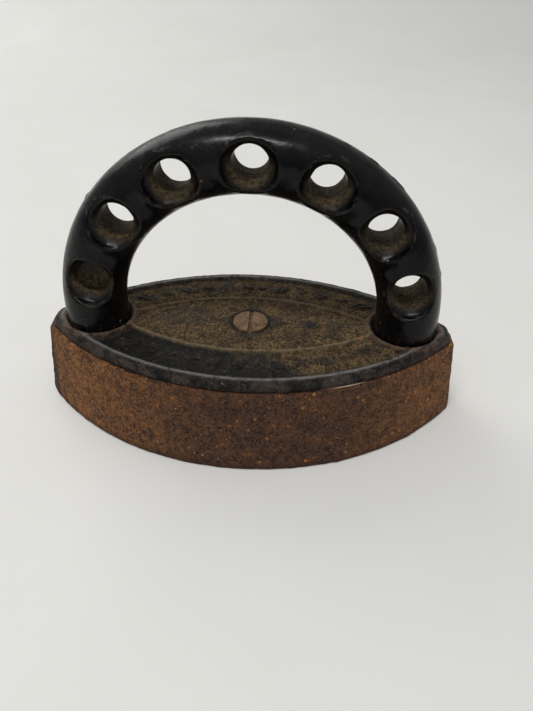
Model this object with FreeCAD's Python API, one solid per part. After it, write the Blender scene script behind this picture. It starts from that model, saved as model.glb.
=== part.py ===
import FreeCAD, Part
import math
import os

# A cast-iron clothes iron, pointed at both ends. A heavy sole block carries a thin heat liner and
# a cover plate, held down by one slotted screw in the middle. A hollowed-through arch, the grip,
# stands in two sockets of the plate, with a countersunk screw up into each foot.
#
# Millimetres. The origin is the middle of the sole's flat face. +X runs along the iron, +Y to its
# far side and +Z up. Every outline is a pair of long side arcs that meet short flats at the tips.

# Driving dimensions: the sole block
sole_length = 168.0
sole_width = 92.0
top_length = 159.6
top_width = 77.8
base_height = 31.0
sole_tip_flat = 11.0
sole_corner = 7.0
top_tip_flat = 7.6
sole_edge_break = 0.9
top_edge_break = 0.4

# The air gap under the cover, and the boss that the centre screw is tapped into
gap_depth = 2.5
gap_side_land = 9.0
gap_tip_land = 19.0
boss_diameter = 24.0

# The liner and the cover plate
liner_thickness = 0.5
liner_inset = 1.2
plate_length = 156.4
plate_width = 76.4
plate_tip_flat = 7.4
plate_edge_height = 3.6
plate_shoulder = 0.45  # of the edge height: the edge is upright up to here
plate_haunch = 0.8  # of the edge height: the edge has leaned most of the way in by here
rim_inset = 3.2
rim_tip_inset = 1.8
rim_crest_width = 0.9
rim_drop = 1.1
rim_slope_width = 1.3
outline_corner = 1.8

# The raised lens-shaped line round the middle field, and the field's crown
lens_length = 104.0
lens_width = 36.2
lens_tip_flat = 2.0
lens_corner = 0.6
lens_rise = 0.8
lens_line_width = 1.1
lens_groove_floor = 0.2
field_crown = 0.6
field_crown_share = 0.45  # of the lens: the crown is highest within this share of it

# The arched grip
grip_diameter = 24.0
arch_radius = 60.3
arch_centre_height = 40.0
hole_count = 7
hole_pitch_angle = 24.8
hole_waist_diameter = 11.6
hole_mouth_diameter = 16.4  # before the lip is rounded
hole_lip_radius = 1.2

# The sockets that hold the arch's feet
socket_floor = 2.0
socket_clearance = 0.35
collar_width = 2.6
collar_height = 1.8
collar_slope = 0.75
foot_taper_height = 2.6
foot_taper = 0.6

# Screws
centre_head_diameter = 14.0
centre_head_edge = 1.3
centre_head_crown = 0.7
centre_shank_diameter = 8.0
centre_thread_depth = 16.0
head_seat_depth = 0.5
head_seat_gap = 0.6
centre_slot_width = 1.7
centre_slot_depth = 1.4
foot_screw_diameter = 5.0
foot_screw_head_diameter = 9.0
foot_screw_length = 13.0
foot_screw_slot_width = 1.2
foot_screw_slot_depth = 0.9
screw_hole_clearance = 0.2

# Levels and places that follow from the dimensions above
up = FreeCAD.Vector(0, 0, 1)
plate_bottom = base_height + liner_thickness
rim_top = plate_bottom + plate_edge_height
band_level = rim_top - rim_drop
seat_level = plate_bottom + socket_floor
head_seat = band_level + field_crown - head_seat_depth
foot_x = math.sqrt(arch_radius**2 - (arch_centre_height - seat_level) ** 2)
grip_radius = grip_diameter / 2
mouth_radius = hole_mouth_diameter / 2
mouth_depth = math.sqrt(grip_radius**2 - mouth_radius**2)
past = 1.0  # how far a cutting tool runs past the face that it cuts


def outline(length, width, tip_flat, height, corner=outline_corner):
    """A closed wire at one height: two side arcs, two tip flats and four rounded corners."""
    half, side, flat = length / 2, width / 2, tip_flat / 2
    radius = (half**2 + (side - flat) ** 2) / (2 * (side - flat))
    drop = radius - side
    corner_x = half - corner
    corner_y = math.sqrt((radius - corner) ** 2 - corner_x**2) - drop
    reach = corner / (radius - corner)
    touch = (corner_x * (1 + reach), corner_y + (corner_y + drop) * reach)
    turn = math.atan2(corner_y + drop, corner_x) / 2
    middle = (corner_x + corner * math.cos(turn), corner_y + corner * math.sin(turn))

    def at(x, y):
        return FreeCAD.Vector(x, y, height)

    corners = []
    for end, face in ((1, 1), (-1, 1), (-1, -1), (1, -1)):
        points = [at(end * x, face * y) for x, y in ((half, corner_y), middle, touch)]
        corners.append(points if end == face else points[::-1])
    edges = []
    for number, points in enumerate(corners):
        following = corners[(number + 1) % 4][0]
        edges.append(Part.Arc(*points).toShape())
        if number % 2 == 0:
            crest = at(0, side if number == 0 else -side)
            edges.append(Part.Arc(points[-1], crest, following).toShape())
        else:
            edges.append(Part.makeLine(points[-1], following))
    return Part.Wire(edges)


def stack(*wires):
    """A solid with straight walls from each outline to the next."""
    return Part.makeLoft(list(wires), True, True)


def cylinder(radius, height, x, z):
    return Part.makeCylinder(radius, height, FreeCAD.Vector(x, 0, z), up)


def cone(low_radius, high_radius, height, x, z):
    return Part.makeCone(low_radius, high_radius, height, FreeCAD.Vector(x, 0, z), up)


def make_sole_base():
    """The flared block, with broken edges, the air gap in its top and the tapped centre hole."""
    grow = (sole_length - top_length) / base_height
    widen = (sole_width - top_width) / base_height
    low = sole_edge_break
    high = base_height - top_edge_break
    below = top_edge_break
    block = stack(
        outline(sole_length - 2 * low, sole_width - 2 * low, sole_tip_flat, 0, sole_corner),
        outline(sole_length - grow * low, sole_width - widen * low, sole_tip_flat, low, sole_corner),
        outline(top_length + grow * below, top_width + widen * below, top_tip_flat, high),
        outline(top_length - 2 * below, top_width - 2 * below, top_tip_flat, base_height),
    )
    gap_length = top_length - 2 * gap_tip_land
    gap_width = top_width - 2 * gap_side_land
    gap = stack(
        outline(gap_length, gap_width, top_tip_flat, base_height - gap_depth),
        outline(gap_length, gap_width, top_tip_flat, base_height + past),
    )
    boss = cylinder(boss_diameter / 2, gap_depth + past, 0, base_height - gap_depth)
    hole = cylinder(
        centre_shank_diameter / 2, centre_thread_depth + past, 0, base_height - centre_thread_depth
    )
    return block.cut(gap.cut(boss)).cut(hole)


def make_liner():
    """The thin board between the block and the plate, set back a little all round."""
    length = plate_length - 2 * liner_inset
    width = plate_width - 2 * liner_inset
    sheet = stack(
        outline(length, width, plate_tip_flat, base_height),
        outline(length, width, plate_tip_flat, plate_bottom),
    )
    bore = cylinder(boss_diameter / 2 - 2, 2 * past, 0, base_height - past / 2)
    return sheet.cut(bore)


def plate_body():
    """The plate's slab: an upright edge, a shoulder that leans in, and the rim's narrow crest."""
    shoulder = plate_bottom + plate_shoulder * plate_edge_height
    haunch = plate_bottom + plate_haunch * plate_edge_height
    in_x = 2 * rim_tip_inset
    in_y = 2 * rim_inset
    return stack(
        outline(plate_length, plate_width, plate_tip_flat, plate_bottom),
        outline(plate_length - in_x / 8, plate_width - in_y / 8, plate_tip_flat, shoulder),
        outline(plate_length - in_x / 2, plate_width - in_y / 2, plate_tip_flat, haunch),
        outline(plate_length - in_x, plate_width - in_y, plate_tip_flat, rim_top),
    )


def rim_pocket():
    """What is cast away inside the rim, down to the level of the ornamented band."""
    width = plate_width - 2 * (rim_inset + rim_crest_width)
    length = plate_length - 2 * (rim_inset + rim_crest_width)
    slope = 2 * rim_slope_width
    return stack(
        outline(length - slope, width - slope, plate_tip_flat, band_level),
        outline(length, width, plate_tip_flat, rim_top),
        outline(length, width, plate_tip_flat, rim_top + past),
    )


def lens_outline(shrink, height):
    """The lens-shaped line's outline, drawn in by a distance at the sides and twice that at the tips."""
    length = lens_length - 4 * shrink
    return outline(length, lens_width - 2 * shrink, lens_tip_flat, height, lens_corner)


def lens_field():
    """The raised line and the gently crowned field inside it."""
    half_line = lens_line_width / 2
    ridge_top = band_level + lens_rise
    ridge = stack(lens_outline(-lens_line_width, band_level), lens_outline(0, ridge_top))
    hollow = stack(
        lens_outline(lens_line_width, band_level + lens_groove_floor),
        lens_outline(half_line / 2, ridge_top + past / 10),
    )
    top_length = lens_length * field_crown_share
    top_width = lens_width * field_crown_share
    crown = stack(
        lens_outline(lens_line_width, band_level),
        outline(top_length, top_width, lens_tip_flat, band_level + field_crown, lens_corner),
    )
    return ridge.cut(hollow).fuse(crown)


def collar(side):
    """The raised ring round one socket."""
    outer = grip_radius + socket_clearance + collar_width
    return cone(outer + collar_slope, outer - collar_slope, collar_height, side * foot_x, band_level)


def countersunk_head(side):
    """The head of one foot screw, which fills its countersink through the socket's floor."""
    head_radius = foot_screw_head_diameter / 2
    return cone(head_radius, foot_screw_diameter / 2, socket_floor, side * foot_x, plate_bottom)


def make_cover_plate():
    """The cover, with its rim, lens line, socket collars, socket pockets and screw holes."""
    plate = plate_body().cut(rim_pocket()).fuse(lens_field())
    pocket_radius = grip_radius + socket_clearance
    pocket_height = collar_height + 2 * past
    for side in (-1, 1):
        plate = plate.fuse(collar(side))
        plate = plate.cut(cylinder(pocket_radius, pocket_height, side * foot_x, seat_level))
        plate = plate.cut(countersunk_head(side))
    seat = cylinder(centre_head_diameter / 2 + head_seat_gap, 3 * past, 0, head_seat)
    hole = cylinder(
        centre_shank_diameter / 2 + screw_hole_clearance, 2 * plate_edge_height, 0, plate_bottom - past
    )
    return plate.cut(seat).cut(hole)


def arch_bar():
    """The round bar of the grip, bent to an arc and cut off level at its feet."""
    centre = FreeCAD.Vector(0, 0, arch_centre_height)
    ring = Part.makeTorus(arch_radius, grip_radius, centre, FreeCAD.Vector(0, 1, 0))
    reach = 2 * arch_radius
    corner = FreeCAD.Vector(-reach, -reach, seat_level)
    return ring.common(Part.makeBox(2 * reach, 2 * reach, 2 * reach, corner))


def cooling_hole(angle):
    """One hole through the grip, narrowest halfway and wider towards both faces."""
    x = arch_radius * math.cos(angle)
    z = arch_centre_height + arch_radius * math.sin(angle)
    waist = hole_waist_diameter / 2
    reach = grip_radius + past
    wide = waist + (mouth_radius - waist) * reach / mouth_depth
    middle = FreeCAD.Vector(x, 0, z)
    near = Part.makeCone(waist, wide, reach, middle, FreeCAD.Vector(0, -1, 0))
    far = Part.makeCone(waist, wide, reach, middle, FreeCAD.Vector(0, 1, 0))
    return near.fuse(far)


def mouth_edges(arch):
    """The edges round every hole's two mouths. They lie well out to one side of the arch's plane."""
    found = []
    for edge in arch.Edges:
        box = edge.BoundBox
        if box.YMin * box.YMax > 0 and min(abs(box.YMin), abs(box.YMax)) > 0.9 * mouth_depth:
            found.append(edge)
    return found


def foot_trim(side):
    """What is taken off round a foot, so that it narrows into its socket."""
    lean = (arch_centre_height - seat_level) / foot_x
    x = side * (foot_x + lean * foot_taper_height / 2)
    block = cylinder(grip_radius + 3 * past, foot_taper_height, x, seat_level)
    keep = cone(grip_radius - foot_taper, grip_radius + past / 3, foot_taper_height, x, seat_level)
    return block.cut(keep)


def make_handle_arch():
    """The grip: the bent bar, its row of round-lipped cooling holes and the hole up each foot."""
    arch = arch_bar()
    middle = (hole_count - 1) / 2
    for number in range(hole_count):
        arch = arch.cut(cooling_hole(math.radians(90 + (number - middle) * hole_pitch_angle)))
    arch = arch.makeFillet(hole_lip_radius, mouth_edges(arch))
    depth = foot_screw_length - socket_floor
    for side in (-1, 1):
        arch = arch.cut(foot_trim(side))
        arch = arch.cut(cylinder(foot_screw_diameter / 2, depth, side * foot_x, seat_level))
    return arch


def make_centre_screw():
    """The large screw: a low crowned head with one slot across it, and a plain shank."""
    radius = centre_head_diameter / 2
    edge_top = head_seat + centre_head_edge
    head = cylinder(radius, centre_head_edge, 0, head_seat)
    ball_radius = (radius**2 + centre_head_crown**2) / (2 * centre_head_crown)
    ball_centre = FreeCAD.Vector(0, 0, edge_top + centre_head_crown - ball_radius)
    ball = Part.makeSphere(ball_radius, ball_centre)
    crown = ball.common(cylinder(radius, 2 * centre_head_crown, 0, edge_top))
    shank_bottom = base_height - centre_thread_depth
    shank = cylinder(centre_shank_diameter / 2, head_seat - shank_bottom, 0, shank_bottom)
    slot_corner = FreeCAD.Vector(
        -centre_slot_width / 2, -2 * radius, edge_top + centre_head_crown - centre_slot_depth
    )
    slot = Part.makeBox(centre_slot_width, 4 * radius, 2 * centre_slot_depth, slot_corner)
    return head.fuse(crown).fuse(shank).removeSplitter().cut(slot)


def make_foot_screw(side):
    """A countersunk screw, its head level with the underside of the plate."""
    x = side * foot_x
    head = countersunk_head(side)
    shank = cylinder(foot_screw_diameter / 2, foot_screw_length, x, plate_bottom)
    reach = foot_screw_head_diameter
    slot_corner = FreeCAD.Vector(
        x - reach, -foot_screw_slot_width / 2, plate_bottom - foot_screw_slot_depth
    )
    slot_height = 2 * foot_screw_slot_depth
    slot = Part.makeBox(2 * reach, foot_screw_slot_width, slot_height, slot_corner)
    return head.fuse(shank).cut(slot)


def main():
    nodes = {
        "sole_base": make_sole_base(),
        "heat_liner": make_liner(),
        "cover_plate": make_cover_plate(),
        "handle_arch": make_handle_arch(),
        "centre_screw": make_centre_screw(),
        "foot_screw_left": make_foot_screw(-1),
        "foot_screw_right": make_foot_screw(1),
    }
    os.makedirs("parts", exist_ok=True)
    for name, shape in nodes.items():
        box = shape.optimalBoundingBox(False)
        facts = f"{len(shape.Solids)} solid, valid {shape.isValid()}, {shape.Volume / 1000:.2f} cm3"
        print(f"{name}: {facts}, z {box.ZMin:.2f} to {box.ZMax:.2f}")
        shape.exportStep(f"parts/{name}.step")


main()
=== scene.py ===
import math

import bpy
import numpy as np
from mathutils import Matrix, Vector


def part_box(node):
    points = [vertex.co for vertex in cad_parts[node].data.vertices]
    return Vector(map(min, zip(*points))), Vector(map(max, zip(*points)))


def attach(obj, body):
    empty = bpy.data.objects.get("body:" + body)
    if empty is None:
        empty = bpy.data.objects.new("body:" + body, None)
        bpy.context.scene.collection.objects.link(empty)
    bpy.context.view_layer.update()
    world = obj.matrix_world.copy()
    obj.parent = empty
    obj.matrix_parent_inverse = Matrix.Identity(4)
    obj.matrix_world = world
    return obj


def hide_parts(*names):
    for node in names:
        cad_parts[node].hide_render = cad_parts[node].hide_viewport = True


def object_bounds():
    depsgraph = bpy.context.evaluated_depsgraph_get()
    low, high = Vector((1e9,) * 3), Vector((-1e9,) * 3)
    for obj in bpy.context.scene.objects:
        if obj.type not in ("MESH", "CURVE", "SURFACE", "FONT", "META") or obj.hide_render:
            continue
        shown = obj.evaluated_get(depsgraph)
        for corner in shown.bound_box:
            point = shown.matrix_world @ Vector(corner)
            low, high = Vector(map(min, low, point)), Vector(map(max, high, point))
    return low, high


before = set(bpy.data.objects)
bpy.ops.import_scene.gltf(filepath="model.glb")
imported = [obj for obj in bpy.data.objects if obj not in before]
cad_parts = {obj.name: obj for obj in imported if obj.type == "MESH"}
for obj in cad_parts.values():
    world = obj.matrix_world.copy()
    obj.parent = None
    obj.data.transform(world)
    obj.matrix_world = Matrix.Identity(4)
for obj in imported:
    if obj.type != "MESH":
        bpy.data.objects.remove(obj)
cad_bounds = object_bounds()

# Lengths are millimetres in the frame's axes, and MM turns them into Blender's metres.
MM = 0.001

# The camera: where it looks, how far off it stands and how it is turned
CAMERA_TURN = 1.99
CAMERA_HEIGHT_ANGLE = 38.27
CAMERA_ROLL = 1.47
CAMERA_DISTANCE = 248.6
CAMERA_RIGHT = 6.59
CAMERA_UP = 14.21
CAMERA_LENS = 29.06


def corners(box):
    """A box's lowest and highest corners in millimetres."""
    return [np.array(corner) / MM for corner in box]


# Sizes that the frame gives
low_arch, high_arch = corners(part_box("handle_arch"))
low_screw, high_screw = corners(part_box("centre_screw"))
BASE_HEIGHT = corners(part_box("sole_base"))[1][2]
PLATE_BOTTOM = corners(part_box("cover_plate"))[0][2]
SEAT_LEVEL = low_arch[2]
GRIP_RADIUS = high_arch[1]
ARCH_RADIUS = high_arch[0] - GRIP_RADIUS
ARCH_CENTRE = high_arch[2] - GRIP_RADIUS - ARCH_RADIUS
FOOT_X = math.sqrt(ARCH_RADIUS**2 - (ARCH_CENTRE - SEAT_LEVEL) ** 2)

# Sizes that the frame's boxes don't give
SOLE = {"half": 83.9, "side": 45.8, "flat": 5.5, "corner": 7.0}
BASE_TOP = {"half": 79.8, "side": 38.9, "flat": 3.8, "corner": 1.8}
PLATE = {"half": 78.2, "side": 38.2, "flat": 3.7, "corner": 1.8}
SOLE_EDGE = 0.9
BASE_TOP_EDGE = 0.5
RIM_HEIGHT = 3.6
RIM_WIDTH = 3.3
RIM_CREST = 0.8
RIM_SLOPE = 1.5
RIM_DROP = 1.1
LENS = {"half": 52.0, "side": 18.1, "flat": 1.0, "corner": 0.8}
LENS_RISE = 0.95
CROWN_RISE = 0.6
COLLAR_INNER = 12.25
COLLAR_WIDTH = 2.9
COLLAR_RISE = 1.75
BEAD_X = 23.5
HOLES = 7
HOLE_PITCH = math.radians(24.8)
HOLE_WAIST = 5.75
HOLE_DRAFT = 0.06
HOLE_FLARE = 2.7
FLARE_START = 6.0
FLARE_END = 10.5
HOLE_LIP = 9.5
LIP_ROUNDING = 1.3
VALLEY_DEPTH = 1.3
BAND_LEVEL = PLATE_BOTTOM + RIM_HEIGHT - RIM_DROP
HEAD_RADIUS = high_screw[0]
HEAD_TOP = high_screw[2]

# The worn relief on the cover: half sizes and heights
BAND_MIDDLE = 11.6
BAND_PITCH = 5.4
BAND_RELIEF = 1.35
LEAF_HALF_WIDTH = 1.8
LEAF_HALF_LENGTH = 3.3
BEAD_RADIUS = 1.6
STAR_HALF_LENGTH = 14.5
STAR_HALF_WIDTH = 12.5
STAR_POWER = 0.85
STAR_RELIEF = 0.8
LOZENGES_X = (-31.0, -21.5, 32.5)
LOZENGE_HALF_LENGTH = 4.4
LOZENGE_HALF_WIDTH = 4.2
LOZENGE_RELIEF = 0.45
FIELD_BEAD_RELIEF = 0.6
LINE_HALF_WIDTH = 0.7

# Smaller sizes of the cover, the grip and the centre screw
EDGE_SHARE = 0.4
COLLAR_ROOT = 0.6
HEAD_SEAT_DEPTH = 1.0
SEAT_CLEARANCE = 0.05
GRIP_ALLOWANCE = 0.12
HOLE_LIP_RISE = 0.22
PLUG_MIDDLE_Y = -1.0
PLUG_HALF_DEPTH = 2.2
PLUG_MARGIN = 0.8
FOOT_TAPER_HEIGHT = 6.0
HEAD_HEIGHT = 2.0
HEAD_CROWN = 0.7
SLOT_HALF_WIDTH = 0.62
SLOT_DEPTH = 1.5
SHANK_RADIUS = 4.0
SHANK_HALF_LENGTH = 9.7
SHANK_TOP_DEPTH = 1.6

# How far apart the points of each piece's mesh are
BLOCK_STEP = 0.62
COVER_STEP = 0.5
GRIP_STEP = 0.6
SCREW_STEP = 0.25
LINER_STEP = 1.2

# The floor and backdrop, in metres
FLOOR_FRONT = -1.6
FLOOR_BACK = 0.7
FLOOR_BEND = 0.5
FLOOR_BEND_STEPS = 24
FLOOR_TOP = 1.8
FLOOR_HALF_WIDTH = 2.2


# ---------------------------------------------------------------- shapes: shared helpers


def smooth_step(low, high, value):
    """0 up to the low value, 1 from the high one, and an S-shaped rise between them."""
    t = np.clip((value - low) / (high - low), 0.0, 1.0)
    return t * t * (3.0 - 2.0 * t)


def smooth_min(a, b, soft):
    """The lower of two values, with their crossing rounded over this much."""
    h = np.clip(0.5 + 0.5 * (b - a) / soft, 0.0, 1.0)
    return b + (a - b) * h - soft * h * (1.0 - h)


def smooth_max(a, b, soft):
    """The higher of two values, with their crossing rounded over this much."""
    return -smooth_min(-a, -b, soft)


def lattice(x, y, z, seed):
    """A fixed scatter of values from 0 to 1, one for each whole-numbered point."""
    n = x * 374761393 + y * 668265263 + z * 2147483647 + seed * 1274126177
    n = (n ^ (n >> 13)) * 1274126177
    n = n ^ (n >> 16)
    return (n & 65535) / 65535.0


def noise(points, size, seed=0):
    """Smooth noise from -1 to 1 with blobs about this size, in millimetres."""
    scaled = points / size + 100.0
    corner = np.floor(scaled).astype(np.int64)
    t = scaled - corner
    t = t * t * (3.0 - 2.0 * t)
    total = np.zeros(points.shape[:-1])
    for dx in (0, 1):
        for dy in (0, 1):
            for dz in (0, 1):
                weight = np.where(dx, t[..., 0], 1 - t[..., 0])
                weight = weight * np.where(dy, t[..., 1], 1 - t[..., 1])
                weight = weight * np.where(dz, t[..., 2], 1 - t[..., 2])
                total += weight * lattice(
                    corner[..., 0] + dx, corner[..., 1] + dy, corner[..., 2] + dz, seed
                )
    return 2.0 * total - 1.0


def layered_noise(points, size, layers=3, seed=0):
    """Noise with finer and weaker layers on top, each half the size of the one before."""
    total = np.zeros(points.shape[:-1])
    for layer in range(layers):
        total += noise(points, size / 2**layer, seed + layer) / 2**layer
    return total


def outline(shape, step):
    """Points round an outline from its +X tip, with side arcs, tip flats and rounded corners."""
    half, side, flat, corner = shape["half"], shape["side"], shape["flat"], shape["corner"]
    radius = (half**2 + (side - flat) ** 2) / (2 * (side - flat))
    drop = radius - side
    corner_x = half - corner
    corner_y = math.sqrt((radius - corner) ** 2 - corner_x**2) - drop
    turn = math.atan2(corner_y + drop, corner_x)
    flat_steps = 8
    corner_steps = 5
    arc_steps = int(84.0 / step)
    y = np.linspace(0, corner_y, flat_steps, endpoint=False)
    tip = np.stack([np.full_like(y, half), y], 1)
    a = np.linspace(0, turn, corner_steps, endpoint=False)
    bend = np.stack([corner_x + corner * np.cos(a), corner_y + corner * np.sin(a)], 1)
    a = np.linspace(turn, math.pi / 2, arc_steps)
    arc = np.stack([radius * np.cos(a), radius * np.sin(a) - drop], 1)
    quarter = np.concatenate([tip, bend, arc])
    back = quarter[-2::-1] * [-1, 1]
    upper = np.concatenate([quarter, back])
    return np.concatenate([upper, upper[-2:0:-1] * [1, -1]])


def between(first, second, share):
    """An outline part of the way from one to another."""
    return {key: first[key] + (second[key] - first[key]) * share for key in first}


def drawn_in(shape, distance):
    """The same outline, drawn in by a distance all round."""
    return {
        "half": shape["half"] - distance,
        "side": shape["side"] - distance,
        "flat": shape["flat"],
        "corner": shape["corner"],
    }


def inset_of(shape, x, y):
    """How far inside an outline a point lies. It is negative outside."""
    half, side, flat = shape["half"], shape["side"], shape["flat"]
    radius = (half**2 + (side - flat) ** 2) / (2 * (side - flat))
    from_side = radius - np.hypot(x, np.abs(y) + radius - side)
    return smooth_min(from_side, half - np.abs(x), 1.2)


def make_mesh(name, points, faces, marks=None):
    """A smooth-shaded object from points in millimetres, held inside the frame's own box, with
    named values at each point."""
    points = np.clip(points, *corners(cad_bounds))
    mesh = bpy.data.meshes.new(name)
    mesh.from_pydata((points * MM).tolist(), [], faces)
    mesh.polygons.foreach_set("use_smooth", [True] * len(mesh.polygons))
    for key, values in (marks or {}).items():
        mesh.attributes.new(key, "FLOAT", "POINT").data.foreach_set("value", values.ravel())
    mesh.update()
    made = bpy.data.objects.new(name, mesh)
    bpy.context.scene.collection.objects.link(made)
    return made


def ring_faces(rings, around):
    """Quads between closed rings of points, and a fan of triangles to close each end."""
    faces = []
    for ring in range(rings - 1):
        for number in range(around):
            following = (number + 1) % around
            a = ring * around
            b = a + around
            faces.append((a + number, a + following, b + following, b + number))
    first = rings * around
    last = (rings - 1) * around
    for number in range(around):
        following = (number + 1) % around
        faces.append((following, number, first))
        faces.append((last + number, last + following, first + 1))
    return faces


def close_rings(rings):
    """All rings' points, then the middles of the first and the last."""
    ends = np.stack([rings[0].mean(0), rings[-1].mean(0)])
    return np.concatenate([rings.reshape(-1, 3), ends])


def ring_normals(rings):
    """The outward direction at every point of a stack of rings."""
    along = np.roll(rings, -1, 1) - np.roll(rings, 1, 1)
    across = np.gradient(rings, axis=0)
    normal = np.cross(along, across)
    return normal / np.maximum(np.linalg.norm(normal, axis=2, keepdims=True), 1e-9)


def crossings(field, axis):
    """Where the field changes sign along one axis: a mask and how far along each edge."""
    first = np.moveaxis(field, axis, 0)[:-1]
    second = np.moveaxis(field, axis, 0)[1:]
    crossed = (first < 0) != (second < 0)
    share = np.where(crossed, first / np.where(crossed, first - second, 1.0), 0.0)
    return crossed, share, first < 0


def skin(distance, low, high, step):
    """Points and quads on the surface where a distance function is zero, by surface nets."""
    axes = [np.arange(low[k], high[k] + step, step) for k in range(3)]
    grid = np.stack(np.meshgrid(*axes, indexing="ij"), -1)
    field = distance(grid)
    cells = tuple(n - 1 for n in field.shape)
    total = np.zeros(cells + (3,))
    count = np.zeros(cells)
    for axis in range(3):
        crossed, share, _ = crossings(field, axis)
        u, v = [k for k in range(3) if k != axis]
        for du in (0, 1):
            for dv in (0, 1):
                part = crossed[:, du : du + cells[u], dv : dv + cells[v]]
                along = share[:, du : du + cells[u], dv : dv + cells[v]]
                place = np.zeros(part.shape + (3,))
                place[..., axis] = along
                place[..., u] = du
                place[..., v] = dv
                place *= part[..., None]
                total += np.moveaxis(place, 0, axis)
                count += np.moveaxis(part, 0, axis)
    active = count > 0
    number = np.full(cells, -1, np.int64)
    number[active] = np.arange(active.sum())
    corner = np.stack(np.nonzero(active), 1)
    points = np.array([a[0] for a in axes]) + step * (corner + total[active] / count[active][:, None])
    faces = []
    for axis in range(3):
        crossed, _, inside = crossings(field, axis)
        crossed = crossed[:, 1:-1, 1:-1]
        inside = inside[:, 1:-1, 1:-1][crossed]
        moved = np.moveaxis(number, axis, 0)
        quad = np.stack([moved[:, :-1, :-1], moved[:, 1:, :-1], moved[:, 1:, 1:], moved[:, :-1, 1:]], -1)
        quad = quad[crossed]
        flip = inside == (axis == 1)
        quad[flip] = quad[flip][:, ::-1]
        faces.append(quad)
    return settle(points, distance, step), np.concatenate(faces).tolist()


def settle(points, distance, step):
    """Draws points onto the true surface, so that its highlights are even."""
    reach = step / 2
    for _ in range(3):
        slope = np.stack(
            [distance(points + reach * axis) - distance(points - reach * axis) for axis in np.eye(3)], -1
        )
        slope /= 2 * reach
        length = np.maximum((slope**2).sum(-1, keepdims=True), 0.1)
        shift = distance(points)[:, None] * slope / length
        points = points - np.clip(shift, -reach, reach)
    return points


# ---------------------------------------------------------------- shapes: the iron's pieces


def base_rings():
    """The block's skin, from near the middle of its top, down its flared wall and across the sole."""
    step = BLOCK_STEP
    rings = []
    for inset in (14.0, 8.0, 4.0, 2.0, 1.0, BASE_TOP_EDGE):
        rings.append((outline(drawn_in(BASE_TOP, inset), step), BASE_HEIGHT))
    for turn in (30, 60):
        inset = BASE_TOP_EDGE * (1 - math.sin(math.radians(turn)))
        height = BASE_HEIGHT - BASE_TOP_EDGE * (1 - math.cos(math.radians(turn)))
        rings.append((outline(drawn_in(BASE_TOP, inset), step), height))
    for height in np.arange(BASE_HEIGHT - BASE_TOP_EDGE, SOLE_EDGE, -step):
        shape = between(SOLE, BASE_TOP, height / BASE_HEIGHT)
        rings.append((outline(shape, step), height))
    for turn in (0, 30, 60, 90):
        inset = SOLE_EDGE * (1 - math.cos(math.radians(turn)))
        height = SOLE_EDGE * (1 - math.sin(math.radians(turn)))
        rings.append((outline(drawn_in(SOLE, inset + 0.15), step), height))
    for share in np.linspace(0.98, 0.05, 40):
        rings.append((outline(SOLE, step) * share, 0.0))
    return np.stack([np.column_stack([flat, np.full(len(flat), z)]) for flat, z in rings])


def make_base():
    """The rusted block: rust scabs and pits stand in and out of its wall, and its edges are worn."""
    rings = base_rings()
    lift = 0.10 * layered_noise(rings, 9.0, 2, 1) + 0.085 * layered_noise(rings, 2.6, 3, 5)
    pits = smooth_step(0.45, 0.95, noise(rings, 2.2, 11)) * 0.22
    chips = smooth_step(0.3, 0.9, noise(rings, 5.0, 17))
    height = rings[..., 2]
    edge = np.exp(-((height - 0.3) ** 2)) + np.exp(-(((height - BASE_HEIGHT) / 0.7) ** 2))
    wall = smooth_step(0.0, 0.6, height)
    shift = (lift - pits - 0.12) * wall - 0.25 * chips * edge * wall
    rings = rings + ring_normals(rings) * shift[..., None]
    points = close_rings(rings)
    return make_mesh("rusted_block", points, ring_faces(len(rings), rings.shape[1]))


def plate_height(x, y):
    """The height of the cover's upper face at a place in plan."""
    place = np.stack([x, y, np.zeros_like(x)], -1)
    inset = inset_of(PLATE, x, y)
    run = np.clip(inset / RIM_WIDTH, 0.0, 1.0)
    rise = np.sqrt(1.0 - (1.0 - run) ** 2.4)
    rim = PLATE_BOTTOM + RIM_HEIGHT * (EDGE_SHARE + (1.0 - EDGE_SHARE) * rise)
    fall = smooth_step(RIM_WIDTH + RIM_CREST - 0.4, RIM_WIDTH + RIM_CREST + RIM_SLOPE, inset)
    groove = 0.3 * np.exp(-(((inset - RIM_WIDTH - RIM_CREST - RIM_SLOPE) / 0.9) ** 2))
    height = rim - RIM_DROP * fall - groove
    height += band_ornament(x, y, inset) * smooth_step(5.4, 6.4, inset)
    lens = inset_of(LENS, x, y)
    height += LENS_RISE * np.exp(-((lens / LINE_HALF_WIDTH) ** 2))
    height -= 0.35 * np.exp(-(((lens + 2.0) / 1.2) ** 2))
    height += CROWN_RISE * smooth_step(0.0, 15.0, lens)
    height += field_ornament(x, y)
    height += 0.10 * layered_noise(place, 1.8, 2, 31) + 0.07 * layered_noise(place, 7.0, 2, 37)
    foot = np.hypot(np.abs(x) - FOOT_X, y)
    ring = (foot - COLLAR_INNER - COLLAR_WIDTH / 2) / (COLLAR_WIDTH / 2)
    bulge = np.sqrt(np.clip(1.0 - np.abs(ring) ** 2.6, 0.0, 1.0))
    collar = BAND_LEVEL - COLLAR_ROOT + (COLLAR_RISE + COLLAR_ROOT) * bulge
    near = np.abs(ring) < 1.0
    height = np.where(near, smooth_max(height, collar, 0.35), height)
    height = np.where(foot < COLLAR_INNER, np.minimum(height, SEAT_LEVEL + SEAT_CLEARANCE), height)
    middle = np.hypot(x, y)
    seat = smooth_step(HEAD_RADIUS + 1.1, HEAD_RADIUS + 0.4, middle)
    return height - HEAD_SEAT_DEPTH * seat


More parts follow.
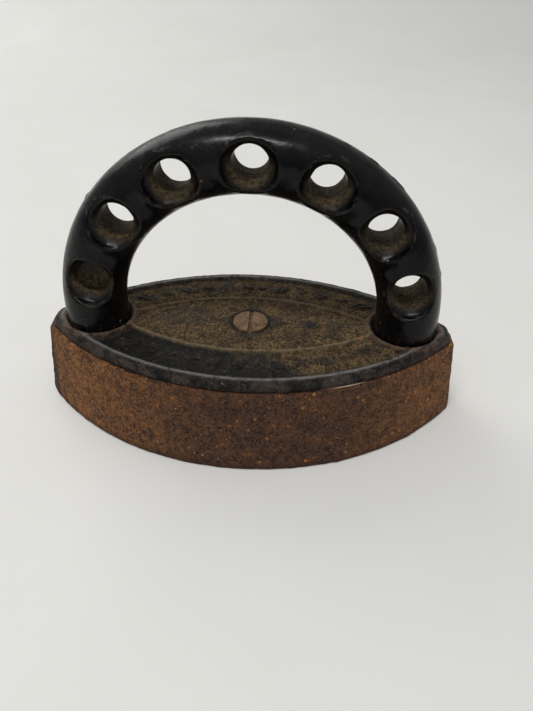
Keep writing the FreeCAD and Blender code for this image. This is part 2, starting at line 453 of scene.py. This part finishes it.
def band_ornament(x, y, inset):
    """A worn row of leaves and beads along the band, cast low into it."""
    run = np.arctan2(np.abs(y), np.abs(x) * 0.62) * 27.0
    cell = np.floor(run / BAND_PITCH)
    along = (run / BAND_PITCH - cell - 0.5) * BAND_PITCH
    across = inset - BAND_MIDDLE
    leaf = np.hypot(along / LEAF_HALF_WIDTH, across / LEAF_HALF_LENGTH)
    bead = np.hypot(along, across) / BEAD_RADIUS
    shape = np.where(cell % 2 == 0, leaf, bead)
    lump = smooth_step(1.2, 0.6, shape)
    vein = np.where(cell % 2 == 0, 0.5 * np.exp(-((along / 0.4) ** 2)), 0.0)
    clear = smooth_step(12.5, 16.5, np.hypot(np.abs(x) - FOOT_X, y) - 2.0)
    worn = 0.65 + 0.35 * noise(np.stack([x, y, 0 * x], -1), 6.0, 41)
    return BAND_RELIEF * lump * (1 - vein) * clear * worn


def field_ornament(x, y):
    """A worn four-pointed star under the screw, lozenges either side and one bead to the right."""
    star = (np.abs(x) / STAR_HALF_LENGTH) ** STAR_POWER + (np.abs(y) / STAR_HALF_WIDTH) ** STAR_POWER
    total = STAR_RELIEF * smooth_step(1.1, 0.9, star)
    for centre in LOZENGES_X:
        lozenge = np.abs(x - centre) / LOZENGE_HALF_LENGTH + np.abs(y) / LOZENGE_HALF_WIDTH
        dished = 1.0 - 0.6 * smooth_step(0.55, 0.3, lozenge)
        total += LOZENGE_RELIEF * smooth_step(1.15, 0.75, lozenge) * dished
    bead = np.hypot(x - BEAD_X, y)
    return total + FIELD_BEAD_RELIEF * smooth_step(2.9, 1.7, bead)


def make_plate():
    """The cover: its upper face is one dense sheet of rings, closed by its edge and underside."""
    rim = outline(PLATE, COVER_STEP)
    inner = np.linspace(0.012, 0.86, 78)
    outer = np.linspace(0.865, 0.997, 20)
    rings = []
    for share in np.concatenate([inner, outer]):
        flat = rim * share
        rings.append(np.column_stack([flat, plate_height(flat[:, 0], flat[:, 1])]))
    edge_height = PLATE_BOTTOM + RIM_HEIGHT * EDGE_SHARE
    for height in np.linspace(edge_height, PLATE_BOTTOM, 5):
        rings.append(np.column_stack([rim, np.full(len(rim), height)]))
    for share in (0.97, 0.9, 0.5, 0.05):
        rings.append(np.column_stack([rim * share, np.full(len(rim), PLATE_BOTTOM)]))
    rings = np.stack(rings)
    points = close_rings(rings)
    x = points[:, 0]
    y = points[:, 1]
    inset = inset_of(PLATE, x, y)
    foot = np.hypot(np.abs(x) - FOOT_X, y)
    lens = inset_of(LENS, x, y)
    relief = band_ornament(x, y, inset) + field_ornament(x, y)
    marks = {
        "relief": np.clip(relief / 0.5, 0.0, 1.0),
        "bead": smooth_step(3.0, 2.2, np.hypot(x - BEAD_X, y)),
        # where the painted shade in the gap round each foot goes
        "seam": smooth_step(COLLAR_INNER + 0.25, COLLAR_INNER, foot),
        "field": smooth_step(-1.5, 0.5, lens),
        "line": np.exp(-((lens / LINE_HALF_WIDTH) ** 2)),
        "hollow": smooth_step(3.9, 6.0, inset) * smooth_step(13.0, 15.0, foot),
        # where the painted highlight along the rim's crest goes
        "crest": np.exp(-(((inset - RIM_WIDTH + 0.1) / 0.65) ** 2)),
        "collar": np.exp(-(((foot - COLLAR_INNER - 1.4) / 1.3) ** 2)),
    }
    return make_mesh("cover_casting", points, ring_faces(len(rings), rings.shape[1]), marks)


def hole_places():
    """The middle of each cooling hole, as x and z."""
    places = []
    for number in range(HOLES):
        angle = math.pi / 2 + (number - (HOLES - 1) / 2) * HOLE_PITCH
        places.append((ARCH_RADIUS * math.cos(angle), ARCH_CENTRE + ARCH_RADIUS * math.sin(angle)))
    return places


def hole_radius(depth):
    """The hole's radius at a distance from the grip's middle plane: it opens like a funnel."""
    return HOLE_WAIST + HOLE_DRAFT * depth + HOLE_FLARE * smooth_step(FLARE_START, FLARE_END, depth)


def valleys(p):
    """How deep the grip's faces dip between the holes, on the side of the hand gap."""
    x, y, z = p[..., 0], p[..., 1], p[..., 2]
    around = np.hypot(x, z - ARCH_CENTRE)
    turn = (np.arctan2(z - ARCH_CENTRE, x) - math.pi / 2) / HOLE_PITCH
    from_gap = (turn - np.floor(turn) - 0.5) * HOLE_PITCH * ARCH_RADIUS
    last_gap = np.abs(turn) < HOLES / 2 - 0.5
    along = np.exp(-((from_gap / 3.4) ** 2)) * last_gap
    across = np.exp(-(((around - ARCH_RADIUS + 4.0) / 4.6) ** 2))
    return along * across * smooth_step(2.0, 7.0, np.abs(y))


def arch_distance(p):
    """Distance to the grip's surface: a bent bar pierced by holes with wide mouths.

    The lowest hole on the left is stopped with packed dirt.
    """
    x, y, z = p[..., 0], p[..., 1], p[..., 2]
    around = np.hypot(x, z - ARCH_CENTRE)
    body = np.hypot(around - ARCH_RADIUS, y) - GRIP_RADIUS + GRIP_ALLOWANCE
    ridge = np.exp(-((y / 0.45) ** 2)) * smooth_step(ARCH_RADIUS, ARCH_RADIUS + 6.0, around)
    body = body - ridge * (0.05 + 0.3 * smooth_step(0.35, 0.8, noise(p, 5.0, 51)))
    body = body + VALLEY_DEPTH * valleys(p) + 0.05 * layered_noise(p, 8.0, 2, 53)
    inner_side = smooth_step(ARCH_RADIUS + 8.0, ARCH_RADIUS - 4.0, around)
    for hole_x, hole_z in hole_places():
        off = np.hypot(x - hole_x, z - hole_z)
        body = body - HOLE_LIP_RISE * np.exp(-(((off - HOLE_LIP - 0.3) / 0.8) ** 2)) * inner_side
    for hole_x, hole_z in hole_places():
        off = np.hypot(x - hole_x, z - hole_z)
        wall = hole_radius(np.abs(y)) - off + 0.16 * noise(p, 2.5, 55)
        body = smooth_max(body, wall, LIP_ROUNDING)
    plug_x, plug_z = hole_places()[-1]
    plug_side = np.hypot(x - plug_x, z - plug_z) - HOLE_WAIST - PLUG_MARGIN
    dirt = np.maximum(np.abs(y - PLUG_MIDDLE_Y) - PLUG_HALF_DEPTH, plug_side)
    body = smooth_min(body, dirt + 0.3 * noise(p, 3.0, 57), 1.5)
    foot = np.hypot(np.abs(x) - FOOT_X, y)
    taper = foot - (GRIP_RADIUS - 0.35 + 0.3 * (z - SEAT_LEVEL))
    body = smooth_max(body, np.where(z < SEAT_LEVEL + FOOT_TAPER_HEIGHT, taper, -9.0), 0.5)
    return np.maximum(body, SEAT_LEVEL + SEAT_CLEARANCE - z)


def make_arch():
    """The grip, with its holes, lips and feet marked for the dust, the wear and the rust."""
    margin = 1.5
    points, faces = skin(arch_distance, low_arch - margin, high_arch + margin, GRIP_STEP)
    x, y, z = points.T
    inside = np.zeros(len(points))
    lip = np.zeros(len(points))
    for hole_x, hole_z in hole_places():
        off = np.hypot(x - hole_x, z - hole_z)
        deep = smooth_step(1.4, 0.4, off - hole_radius(np.abs(y)))
        lower_side = smooth_step(4.0, -3.0, z - hole_z)
        within = smooth_step(9.4, 6.4, np.abs(y))
        inside = np.maximum(inside, deep * (0.15 + 0.85 * lower_side) * within)
        lip = np.maximum(lip, np.exp(-(((off - HOLE_LIP) / 0.4) ** 2)) * (np.abs(y) > 5.0))
    marks = {
        "inside": inside,
        "lip": lip,
        "foot": smooth_step(SEAT_LEVEL + 9.0, SEAT_LEVEL + 1.0, z),
    }
    return make_mesh("pierced_grip", points, faces, marks)


def screw_distance(p):
    """Distance to the centre screw: a low crowned head with one worn slot, and a shank."""
    x, y, z = p[..., 0], p[..., 1], p[..., 2]
    radial = np.hypot(x, y)
    top = HEAD_TOP - HEAD_CROWN * (radial / HEAD_RADIUS) ** 2 + 0.05 * noise(p, 1.5, 61)
    head = np.maximum(z - top, HEAD_TOP - HEAD_HEIGHT - z)
    head = smooth_max(head, radial - HEAD_RADIUS + 0.1 - 0.06 * noise(p, 2.0, 67), 0.35)
    slot_side = np.abs(x) - SLOT_HALF_WIDTH - 0.08 * noise(p, 2.5, 71)
    head = smooth_max(head, -np.maximum(slot_side, HEAD_TOP - SLOT_DEPTH - z), 0.25)
    shank_middle = (low_screw[2] + HEAD_TOP - SHANK_TOP_DEPTH) / 2
    shank = np.maximum(radial - SHANK_RADIUS, np.abs(z - shank_middle) - SHANK_HALF_LENGTH)
    return np.minimum(head, shank)


def make_screw():
    """The centre screw, as one skin."""
    margin = 0.8
    low = np.array([-HEAD_RADIUS, -HEAD_RADIUS, low_screw[2]]) - margin
    high = np.array([HEAD_RADIUS, HEAD_RADIUS, HEAD_TOP]) + margin
    points, faces = skin(screw_distance, low, high, SCREW_STEP)
    return make_mesh("slotted_screw", points, faces)


def make_liner():
    """The board in the seam: its soft edge creeps out a little where it shows."""
    rim = outline(PLATE, LINER_STEP)
    place = np.column_stack([rim, np.zeros(len(rim))])
    creep = 0.5 * noise(place, 14.0, 81) + 0.3 * noise(place, 3.0, 83)
    front = np.exp(-(((rim[:, 0] - 36.0) / 13.0) ** 2)) * (rim[:, 1] < 0)
    shrink = (1.3 - creep * 0.5 - 1.6 * front)[:, None]
    edge = rim * (1.0 - shrink / np.linalg.norm(rim, axis=1, keepdims=True))
    gap = 0.02
    low = BASE_HEIGHT + gap
    high = PLATE_BOTTOM - gap
    rings = []
    for scale, height in ((0.3, high), (0.9, high), (0.995, high), (1.0, (low + high) / 2)):
        rings.append(np.column_stack([edge * scale, np.full(len(edge), height)]))
    for scale in (0.995, 0.9, 0.3):
        rings.append(np.column_stack([edge * scale, np.full(len(edge), low)]))
    rings = np.stack(rings)
    return make_mesh("liner_board", close_rings(rings), ring_faces(len(rings), rings.shape[1]))


# ---------------------------------------------------------------- materials

# Colours are linear red, green and blue.

# Rust on the block
RUST_SCAB = (0.016, 0.009, 0.007)
RUST_BROWN = (0.112, 0.052, 0.029)
RUST_RED = (0.155, 0.064, 0.028)
RUST_POWDER = (0.40, 0.170, 0.052)
RUST_FLAKE = (0.52, 0.19, 0.035)
RUST_SPOT = (0.62, 0.26, 0.045)
RUST_PALE = (0.44, 0.31, 0.18)
RUST_BLACK = (0.014, 0.009, 0.008)
TIP_BLACK = (0.028, 0.019, 0.016)
SOLE_BROWN = (0.035, 0.018, 0.010)

# The cover's black japan, and what lies on it
JAPAN_DEEP = (0.0030, 0.0030, 0.0033)
JAPAN_DULL = (0.022, 0.019, 0.016)
JAPAN_GRIT = (0.060, 0.051, 0.040)
GRIME_DARK = (0.018, 0.012, 0.007)
GRIME_OLIVE = (0.180, 0.122, 0.060)
GRIME_WORN_OFF = (0.026, 0.019, 0.013)
# Dust and painted highlight colour for the edges of the relief
RELIEF_EDGE_DUST_AND_HIGHLIGHT = (0.080, 0.060, 0.038)
GRIME_GOLD = (0.24, 0.170, 0.088)
RIM_BROWN = (0.072, 0.052, 0.042)
LIME_SPECK = (0.40, 0.33, 0.22)
# Painted highlight colour for the rim's crest
CREST_HIGHLIGHT_GREY = (0.20, 0.195, 0.19)
# Painted highlight colour for the raised lens ridge
RIDGE_LINE_HIGHLIGHT = (0.22, 0.165, 0.098)
COLLAR_BROWN = (0.135, 0.085, 0.055)
# Painted shade colour for the gap round each foot of the grip
SEAM_SHADE_BLACK = (0.004, 0.004, 0.004)
COVER_RUST = (0.36, 0.14, 0.04)

# The grip's polished japan
GRIP_BLACK = (0.0012, 0.0014, 0.002)
GRIP_SMEAR = (0.0050, 0.0050, 0.0058)
DUST_DARK = (0.014, 0.010, 0.006)
DUST_BROWN = (0.105, 0.074, 0.038)
LIP_BROWN = (0.070, 0.046, 0.032)
FOOT_RUST = (0.14, 0.066, 0.034)
FRECKLE = (0.22, 0.10, 0.045)

# The screws and the board
SCREW_DARK = (0.040, 0.026, 0.017)
SCREW_BROWN = (0.190, 0.118, 0.062)
SCREW_RUST = (0.27, 0.145, 0.062)
BOARD_DARK = (0.36, 0.27, 0.17)
BOARD_PALE = (0.66, 0.56, 0.42)
BOARD_SOIL = (0.16, 0.09, 0.05)

# The room
FLOOR_DARK = (0.72, 0.715, 0.69)
FLOOR_PALE = (0.78, 0.775, 0.755)
WINDOW_LIGHT = (1.0, 0.995, 0.98)
LAMP_LIGHT = (1.0, 0.99, 0.97)


class Nodes:
    """A material's node tree, with short ways to add the nodes used below."""

    def __init__(self, name):
        self.material = bpy.data.materials.new(name)
        self.material.use_nodes = True
        self.tree = self.material.node_tree
        self.shader = self.tree.nodes["Principled BSDF"]
        self.place = self.tree.nodes.new("ShaderNodeTexCoord").outputs["Object"]

    def link(self, value, socket):
        """Links another node's output, or sets a plain value."""
        if isinstance(value, bpy.types.NodeSocket):
            self.tree.links.new(value, socket)
        else:
            socket.default_value = value

    def noise(self, size, detail=3.0, roughness=0.6, distortion=0.0, stretch=None):
        """Noise with blobs of about this many millimetres."""
        node = self.tree.nodes.new("ShaderNodeTexNoise")
        node.inputs["Scale"].default_value = 1.0 / (size * MM)
        node.inputs["Detail"].default_value = detail
        node.inputs["Roughness"].default_value = roughness
        node.inputs["Distortion"].default_value = distortion
        place = self.place
        if stretch:
            mapping = self.tree.nodes.new("ShaderNodeMapping")
            mapping.inputs["Scale"].default_value = stretch
            self.tree.links.new(place, mapping.inputs["Vector"])
            place = mapping.outputs["Vector"]
        self.tree.links.new(place, node.inputs["Vector"])
        return node.outputs["Fac"]

    def cells(self, size):
        """Distance from scattered points about this many millimetres apart."""
        node = self.tree.nodes.new("ShaderNodeTexVoronoi")
        node.inputs["Scale"].default_value = 1.0 / (size * MM)
        self.tree.links.new(self.place, node.inputs["Vector"])
        return node.outputs["Distance"]

    def span(self, value, low, high, to_low=0.0, to_high=1.0):
        """The value's range from low to high, spread smoothly over another range."""
        node = self.tree.nodes.new("ShaderNodeMapRange")
        node.interpolation_type = "SMOOTHSTEP"
        node.inputs["From Min"].default_value = low
        node.inputs["From Max"].default_value = high
        node.inputs["To Min"].default_value = to_low
        node.inputs["To Max"].default_value = to_high
        self.link(value, node.inputs["Value"])
        return node.outputs["Result"]

    def math(self, operation, first, second):
        """One sum of two values."""
        node = self.tree.nodes.new("ShaderNodeMath")
        node.operation = operation
        self.link(first, node.inputs[0])
        self.link(second, node.inputs[1])
        return node.outputs["Value"]

    def times(self, first, second):
        """One value multiplied by another."""
        return self.math("MULTIPLY", first, second)

    def rest_of(self, share):
        """What a share leaves of the whole."""
        return self.math("SUBTRACT", 1.0, share)

    def mix(self, share, first, second):
        """The second colour laid over the first by a share."""
        node = self.tree.nodes.new("ShaderNodeMix")
        node.data_type = "RGBA"
        self.link(share, node.inputs["Factor"])
        for colour, socket in ((first, node.inputs["A"]), (second, node.inputs["B"])):
            self.link(colour if isinstance(colour, bpy.types.NodeSocket) else (*colour, 1.0), socket)
        return node.outputs["Result"]

    def axis(self, name):
        """One coordinate of the place on the piece, in metres."""
        node = self.tree.nodes.new("ShaderNodeSeparateXYZ")
        self.tree.links.new(self.place, node.inputs["Vector"])
        return node.outputs[name]

    def mark(self, name):
        """A value kept at the mesh's points."""
        node = self.tree.nodes.new("ShaderNodeAttribute")
        node.attribute_name = name
        return node.outputs["Fac"]

    def facing_up(self):
        """How far the surface faces up: 1 is level."""
        node = self.tree.nodes.new("ShaderNodeNewGeometry")
        split = self.tree.nodes.new("ShaderNodeSeparateXYZ")
        self.tree.links.new(node.outputs["Normal"], split.inputs["Vector"])
        return split.outputs["Z"]

    def finish(self, colour, roughness, height, depth, specular=0.5):
        """Joins colour, roughness and a bump of this many millimetres to the shader."""
        bump = self.tree.nodes.new("ShaderNodeBump")
        bump.inputs["Distance"].default_value = depth * MM
        self.link(height, bump.inputs["Height"])
        self.tree.links.new(bump.outputs["Normal"], self.shader.inputs["Normal"])
        self.link(colour, self.shader.inputs["Base Color"])
        self.link(roughness, self.shader.inputs["Roughness"])
        self.shader.inputs["Specular IOR Level"].default_value = specular
        return self.material


def rusted_block():
    """Brown rust in layers: dark scabs, warmer powder at the ends, and scattered orange flakes."""
    n = Nodes("rusted_block")
    patches = n.noise(10.0, 6.0, 0.75, 0.4)
    middle = n.noise(3.4, 5.0, 0.75, 0.5)
    fine = n.noise(0.75, 2.0, 0.6)
    grain = n.math("ADD", n.times(n.noise(1.6, 4.0, 0.75), 0.5), n.times(fine, 0.5))
    colour = n.mix(n.span(grain, 0.35, 0.62), RUST_SCAB, RUST_BROWN)
    colour = n.mix(n.span(patches, 0.46, 0.62, 0.0, 0.45), colour, RUST_RED)
    left = n.span(n.axis("X"), -0.005, -0.068)
    right = n.span(n.axis("X"), 0.03, 0.08, 0.0, 0.85)
    ends = n.math("MAXIMUM", left, right)
    powder = n.times(ends, n.span(n.noise(4.0, 6.0, 0.8), 0.32, 0.60))
    powder = n.times(powder, n.span(grain, 0.42, 0.58, 0.20, 0.85))
    colour = n.mix(powder, colour, RUST_POWDER)
    flake = n.times(n.span(n.noise(2.4, 5.0, 0.8), 0.60, 0.65), n.span(patches, 0.46, 0.56))
    colour = n.mix(n.times(flake, 0.85), colour, RUST_FLAKE)
    spot = n.times(n.span(n.cells(4.2), 0.22, 0.13), n.span(middle, 0.50, 0.58))
    colour = n.mix(n.times(spot, 0.8), colour, RUST_SPOT)
    pale = n.times(n.span(n.cells(2.9), 0.19, 0.10), n.span(fine, 0.52, 0.60))
    colour = n.mix(n.times(pale, 0.6), colour, RUST_PALE)
    black = n.times(n.span(middle, 0.50, 0.66), n.span(left, 0.0, 1.0, 0.45, 0.3))
    colour = n.mix(black, colour, RUST_BLACK)
    tip = n.span(n.axis("X"), -0.0775, -0.0800)
    colour = n.mix(n.times(tip, 0.8), colour, TIP_BLACK)
    foot = n.span(n.axis("Z"), 0.0035, 0.0005)
    colour = n.mix(n.times(foot, 0.6), colour, SOLE_BROWN)
    roughness = n.span(grain, 0.3, 0.7, 0.95, 0.70)
    height = n.math("ADD", grain, n.times(fine, 0.5))
    return n.finish(colour, roughness, height, 1.0, 0.25)


def worn_japan():
    """Black japan gone dull: gritty olive-brown grime in the hollows, and a painted highlight along the
    rim's crest.
    """
    n = Nodes("worn_japan")
    fine = n.noise(0.75, 2.0, 0.6)
    grain = n.math("ADD", n.times(n.noise(1.5, 4.0, 0.75), 0.5), n.times(fine, 0.5))
    grit = n.noise(2.6, 6.0, 0.85)
    cloud = n.noise(11.0, 5.0, 0.7)
    black = n.mix(n.span(grain, 0.44, 0.66), JAPAN_DEEP, JAPAN_DULL)
    black = n.mix(n.span(grit, 0.56, 0.66, 0.0, 0.8), black, JAPAN_GRIT)
    grime = n.mix(n.span(grain, 0.35, 0.63), GRIME_DARK, GRIME_OLIVE)
    worn_off = n.span(n.noise(5.0, 6.0, 0.85), 0.56, 0.40, 0.0, 0.75)
    grime = n.mix(worn_off, grime, GRIME_WORN_OFF)
    bare = n.math("ADD", n.axis("X"), n.times(n.axis("Y"), 2.2))
    bare = n.span(n.math("ADD", bare, n.times(cloud, 0.08)), -0.020, 0.020)
    share = n.times(n.mark("hollow"), n.span(n.facing_up(), 0.35, 0.9))
    share = n.times(share, n.math("MAXIMUM", bare, n.mark("field")))
    share = n.times(share, n.span(cloud, 0.32, 0.56, 0.50, 1.0))
    share = n.times(share, n.rest_of(n.times(n.mark("relief"), 0.7)))
    share = n.times(share, n.rest_of(n.mark("bead")))
    colour = n.mix(share, black, grime)
    # Round the relief's edges: lighter brown, partly dust and partly a painted highlight that shows the
    # relief's shape.
    around = n.times(n.mark("relief"), n.rest_of(n.mark("relief")))
    around = n.times(around, n.span(grit, 0.42, 0.58, 0.2, 1.6))
    colour = n.mix(around, colour, RELIEF_EDGE_DUST_AND_HIGHLIGHT)
    gold = n.times(share, n.span(n.noise(3.6, 6.0, 0.85), 0.54, 0.68))
    colour = n.mix(n.times(gold, 0.55), colour, GRIME_GOLD)
    rim = n.rest_of(n.mark("hollow"))
    rim = n.times(rim, n.span(n.noise(5.0, 6.0, 0.8), 0.44, 0.60, 0.0, 0.7))
    colour = n.mix(rim, colour, RIM_BROWN)
    pale = n.times(n.span(n.cells(2.5), 0.22, 0.11), n.span(fine, 0.55, 0.64))
    colour = n.mix(n.times(pale, 0.5), colour, LIME_SPECK)
    # Painted highlight: a light grey line laid along the rim's crest.
    crest_highlight = n.times(n.mark("crest"), n.span(n.noise(6.0, 6.0, 0.8), 0.34, 0.52))
    colour = n.mix(n.times(crest_highlight, 0.85), colour, CREST_HIGHLIGHT_GREY)
    # Painted highlight: pale brown laid along the raised lens ridge.
    ridge_highlight = n.times(n.mark("line"), n.span(grit, 0.34, 0.56, 0.2, 0.9))
    colour = n.mix(ridge_highlight, colour, RIDGE_LINE_HIGHLIGHT)
    brown = n.times(n.mark("collar"), n.span(grit, 0.40, 0.56))
    colour = n.mix(n.times(brown, 0.9), colour, COLLAR_BROWN)
    # Painted shade: near-black in the narrow gap round each foot of the grip.
    colour = n.mix(n.mark("seam"), colour, SEAM_SHADE_BLACK)
    spots = n.times(n.span(n.cells(11.0), 0.10, 0.05), n.span(cloud, 0.46, 0.56, 0.0, 0.7))
    colour = n.mix(spots, colour, COVER_RUST)
    roughness = n.span(share, 0.0, 1.0, 0.40, 0.92)
    return n.finish(colour, roughness, grain, 1.0, 0.14)


def glossy_japan():
    """Black japan, polished by hands: cloudy smears, bare brown lips and dusty holes."""
    n = Nodes("glossy_japan")
    smear = n.noise(11.0, 4.0, 0.65, 0.8)
    grain = n.noise(1.3, 4.0, 0.8)
    pits = n.span(n.cells(2.6), 0.14, 0.05)
    black = n.mix(n.span(smear, 0.35, 0.7), GRIP_BLACK, GRIP_SMEAR)
    dust = n.mix(n.span(n.noise(1.4, 5.0, 0.85), 0.38, 0.62), DUST_DARK, DUST_BROWN)
    colour = n.mix(n.mark("inside"), black, dust)
    chipped = n.times(n.mark("lip"), n.span(n.noise(3.2, 5.0, 0.75), 0.50, 0.66, 0.0, 0.8))
    colour = n.mix(chipped, colour, LIP_BROWN)
    rusty = n.times(n.mark("foot"), n.span(n.noise(2.2, 5.0, 0.8), 0.54, 0.64, 0.0, 0.6))
    colour = n.mix(rusty, colour, FOOT_RUST)
    freckle = n.times(n.span(n.cells(9.0), 0.06, 0.035), n.span(smear, 0.4, 0.6))
    colour = n.mix(freckle, colour, FRECKLE)
    dull = n.math("MAXIMUM", n.mark("inside"), chipped)
    gloss = n.span(smear, 0.3, 0.7, 0.16, 0.32)
    roughness = n.math("ADD", gloss, n.times(dull, 0.55))
    height = n.math("SUBTRACT", n.times(smear, 1.5), n.times(pits, 0.5))
    height = n.math("ADD", height, n.times(n.times(grain, dull), 1.6))
    return n.finish(colour, roughness, height, 0.16, 0.16)


def rusted_screw():
    """Dull brown iron in a fine grain, with redder patches."""
    n = Nodes("rusted_screw")
    grain = n.noise(0.9, 7.0, 0.85)
    patch = n.noise(4.0, 4.0, 0.7)
    colour = n.mix(n.span(grain, 0.38, 0.62), SCREW_DARK, SCREW_BROWN)
    colour = n.mix(n.span(patch, 0.46, 0.62, 0.0, 0.6), colour, SCREW_RUST)
    return n.finish(colour, n.span(grain, 0.3, 0.7, 0.9, 0.6), grain, 0.3, 0.3)


def liner_board():
    """A pale fibrous board, soiled brown."""
    n = Nodes("liner_board")
    fibre = n.noise(0.7, 4.0, 0.7, 0.0, (0.4, 0.4, 2.0))
    soil = n.noise(8.0, 3.0, 0.6)
    colour = n.mix(n.span(fibre, 0.3, 0.7), BOARD_DARK, BOARD_PALE)
    colour = n.mix(n.span(soil, 0.4, 0.65, 0.0, 0.7), colour, BOARD_SOIL)
    return n.finish(colour, 0.95, fibre, 0.1, 0.2)


# ---------------------------------------------------------------- the scene


def dress_pieces():
    """Puts each piece in place of its frame node, on the one body, in its own material."""
    screw_metal = rusted_screw()
    dressed = (
        (make_base(), "sole_base", "rusted_block", rusted_block()),
        (make_plate(), "cover_plate", "worn_japan", worn_japan()),
        (make_arch(), "handle_arch", "glossy_japan", glossy_japan()),
        (make_screw(), "centre_screw", "rusted_screw", screw_metal),
        (make_liner(), "heat_liner", "liner_board", liner_board()),
    )
    for piece, node, slot, material in dressed:
        piece.data.materials.append(material)
        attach(piece, "root")
        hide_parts(node)
    for node in ("foot_screw_left", "foot_screw_right"):
        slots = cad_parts[node].material_slots
        for material_slot in slots:
            material_slot.material = screw_metal


def add_camera():
    """The view from in front, close by and well above the iron, a little rolled."""
    turn = math.radians(CAMERA_TURN)
    lift = math.radians(CAMERA_HEIGHT_ANGLE)
    roll = math.radians(CAMERA_ROLL)
    forward = Vector((-math.sin(turn) * math.cos(lift), math.cos(turn) * math.cos(lift), -math.sin(lift)))
    right = forward.cross(Vector((0, 0, 1))).normalized()
    up = right.cross(forward)
    target = right * CAMERA_RIGHT + up * CAMERA_UP
    place = (target - forward * CAMERA_DISTANCE) * MM
    across = right * math.cos(roll) + up * math.sin(roll)
    above = up * math.cos(roll) - right * math.sin(roll)
    data = bpy.data.cameras.new("camera")
    data.lens = CAMERA_LENS
    data.clip_start = 0.01
    camera = bpy.data.objects.new("camera", data)
    bpy.context.scene.collection.objects.link(camera)
    turned = Matrix((across, above, -forward)).transposed().to_4x4()
    camera.matrix_world = Matrix.Translation(place) @ turned
    bpy.context.scene.camera = camera


def add_floor():
    """A plain pale floor that curves up far behind."""
    profile = [(FLOOR_FRONT, 0.0), (FLOOR_BACK, 0.0)]
    for number in range(1, FLOOR_BEND_STEPS + 1):
        angle = math.pi / 2 * number / FLOOR_BEND_STEPS
        back = FLOOR_BACK + FLOOR_BEND * math.sin(angle)
        profile.append((back, FLOOR_BEND * (1 - math.cos(angle))))
    profile.append((FLOOR_BACK + FLOOR_BEND, FLOOR_TOP))
    points = [(x, y, z) for y, z in profile for x in (-FLOOR_HALF_WIDTH, FLOOR_HALF_WIDTH)]
    faces = [(2 * k, 2 * k + 1, 2 * k + 3, 2 * k + 2) for k in range(len(profile) - 1)]
    mesh = bpy.data.meshes.new("floor")
    mesh.from_pydata(points, [], faces)
    mesh.polygons.foreach_set("use_smooth", [True] * len(mesh.polygons))
    floor = bpy.data.objects.new("floor", mesh)
    bpy.context.scene.collection.objects.link(floor)
    n = Nodes("pale_floor")
    cloud = n.noise(90.0, 2.0)
    colour = n.mix(cloud, FLOOR_DARK, FLOOR_PALE)
    floor.data.materials.append(n.finish(colour, 0.75, cloud, 0.2, 0.3))


def add_light(name, place, target, size, power, colour):
    """An oblong area light at a place, aimed at a target, in metres and watts."""
    data = bpy.data.lights.new(name, "AREA")
    data.shape = "RECTANGLE"
    data.size, data.size_y = size
    data.energy = power
    data.color = colour
    light = bpy.data.objects.new(name, data)
    bpy.context.scene.collection.objects.link(light)
    light.location = place
    aim = Vector(target) - Vector(place)
    light.rotation_euler = aim.to_track_quat("-Z", "Y").to_euler()


def add_lights():
    """Soft light from a window behind to the left, a narrow lamp overhead, and a pale room."""
    add_light("window", (-0.75, 0.95, 0.85), (0, 0, 0.03), (1.0, 0.8), 7.0, WINDOW_LIGHT)
    add_light("lamp", (-0.08, -0.30, 1.0), (0, 0, 0.08), (0.6, 0.06), 4.5, LAMP_LIGHT)
    world = bpy.data.worlds.new("room")
    world.use_nodes = True
    nodes = world.node_tree.nodes
    links = world.node_tree.links
    place = nodes.new("ShaderNodeTexCoord")
    split = nodes.new("ShaderNodeSeparateXYZ")
    blend = nodes.new("ShaderNodeMapRange")
    blend.inputs["From Min"].default_value = 0.0
    blend.inputs["From Max"].default_value = 0.8
    blend.inputs["To Min"].default_value = 0.24
    blend.inputs["To Max"].default_value = 0.61
    links.new(place.outputs["Generated"], split.inputs["Vector"])
    links.new(split.outputs["Z"], blend.inputs["Value"])
    links.new(blend.outputs["Result"], nodes["Background"].inputs["Strength"])
    nodes["Background"].inputs["Color"].default_value = (0.93, 0.94, 0.94, 1.0)
    bpy.context.scene.world = world
    bpy.context.scene.view_settings.view_transform = "Standard"


dress_pieces()
add_camera()
add_floor()
add_lights()
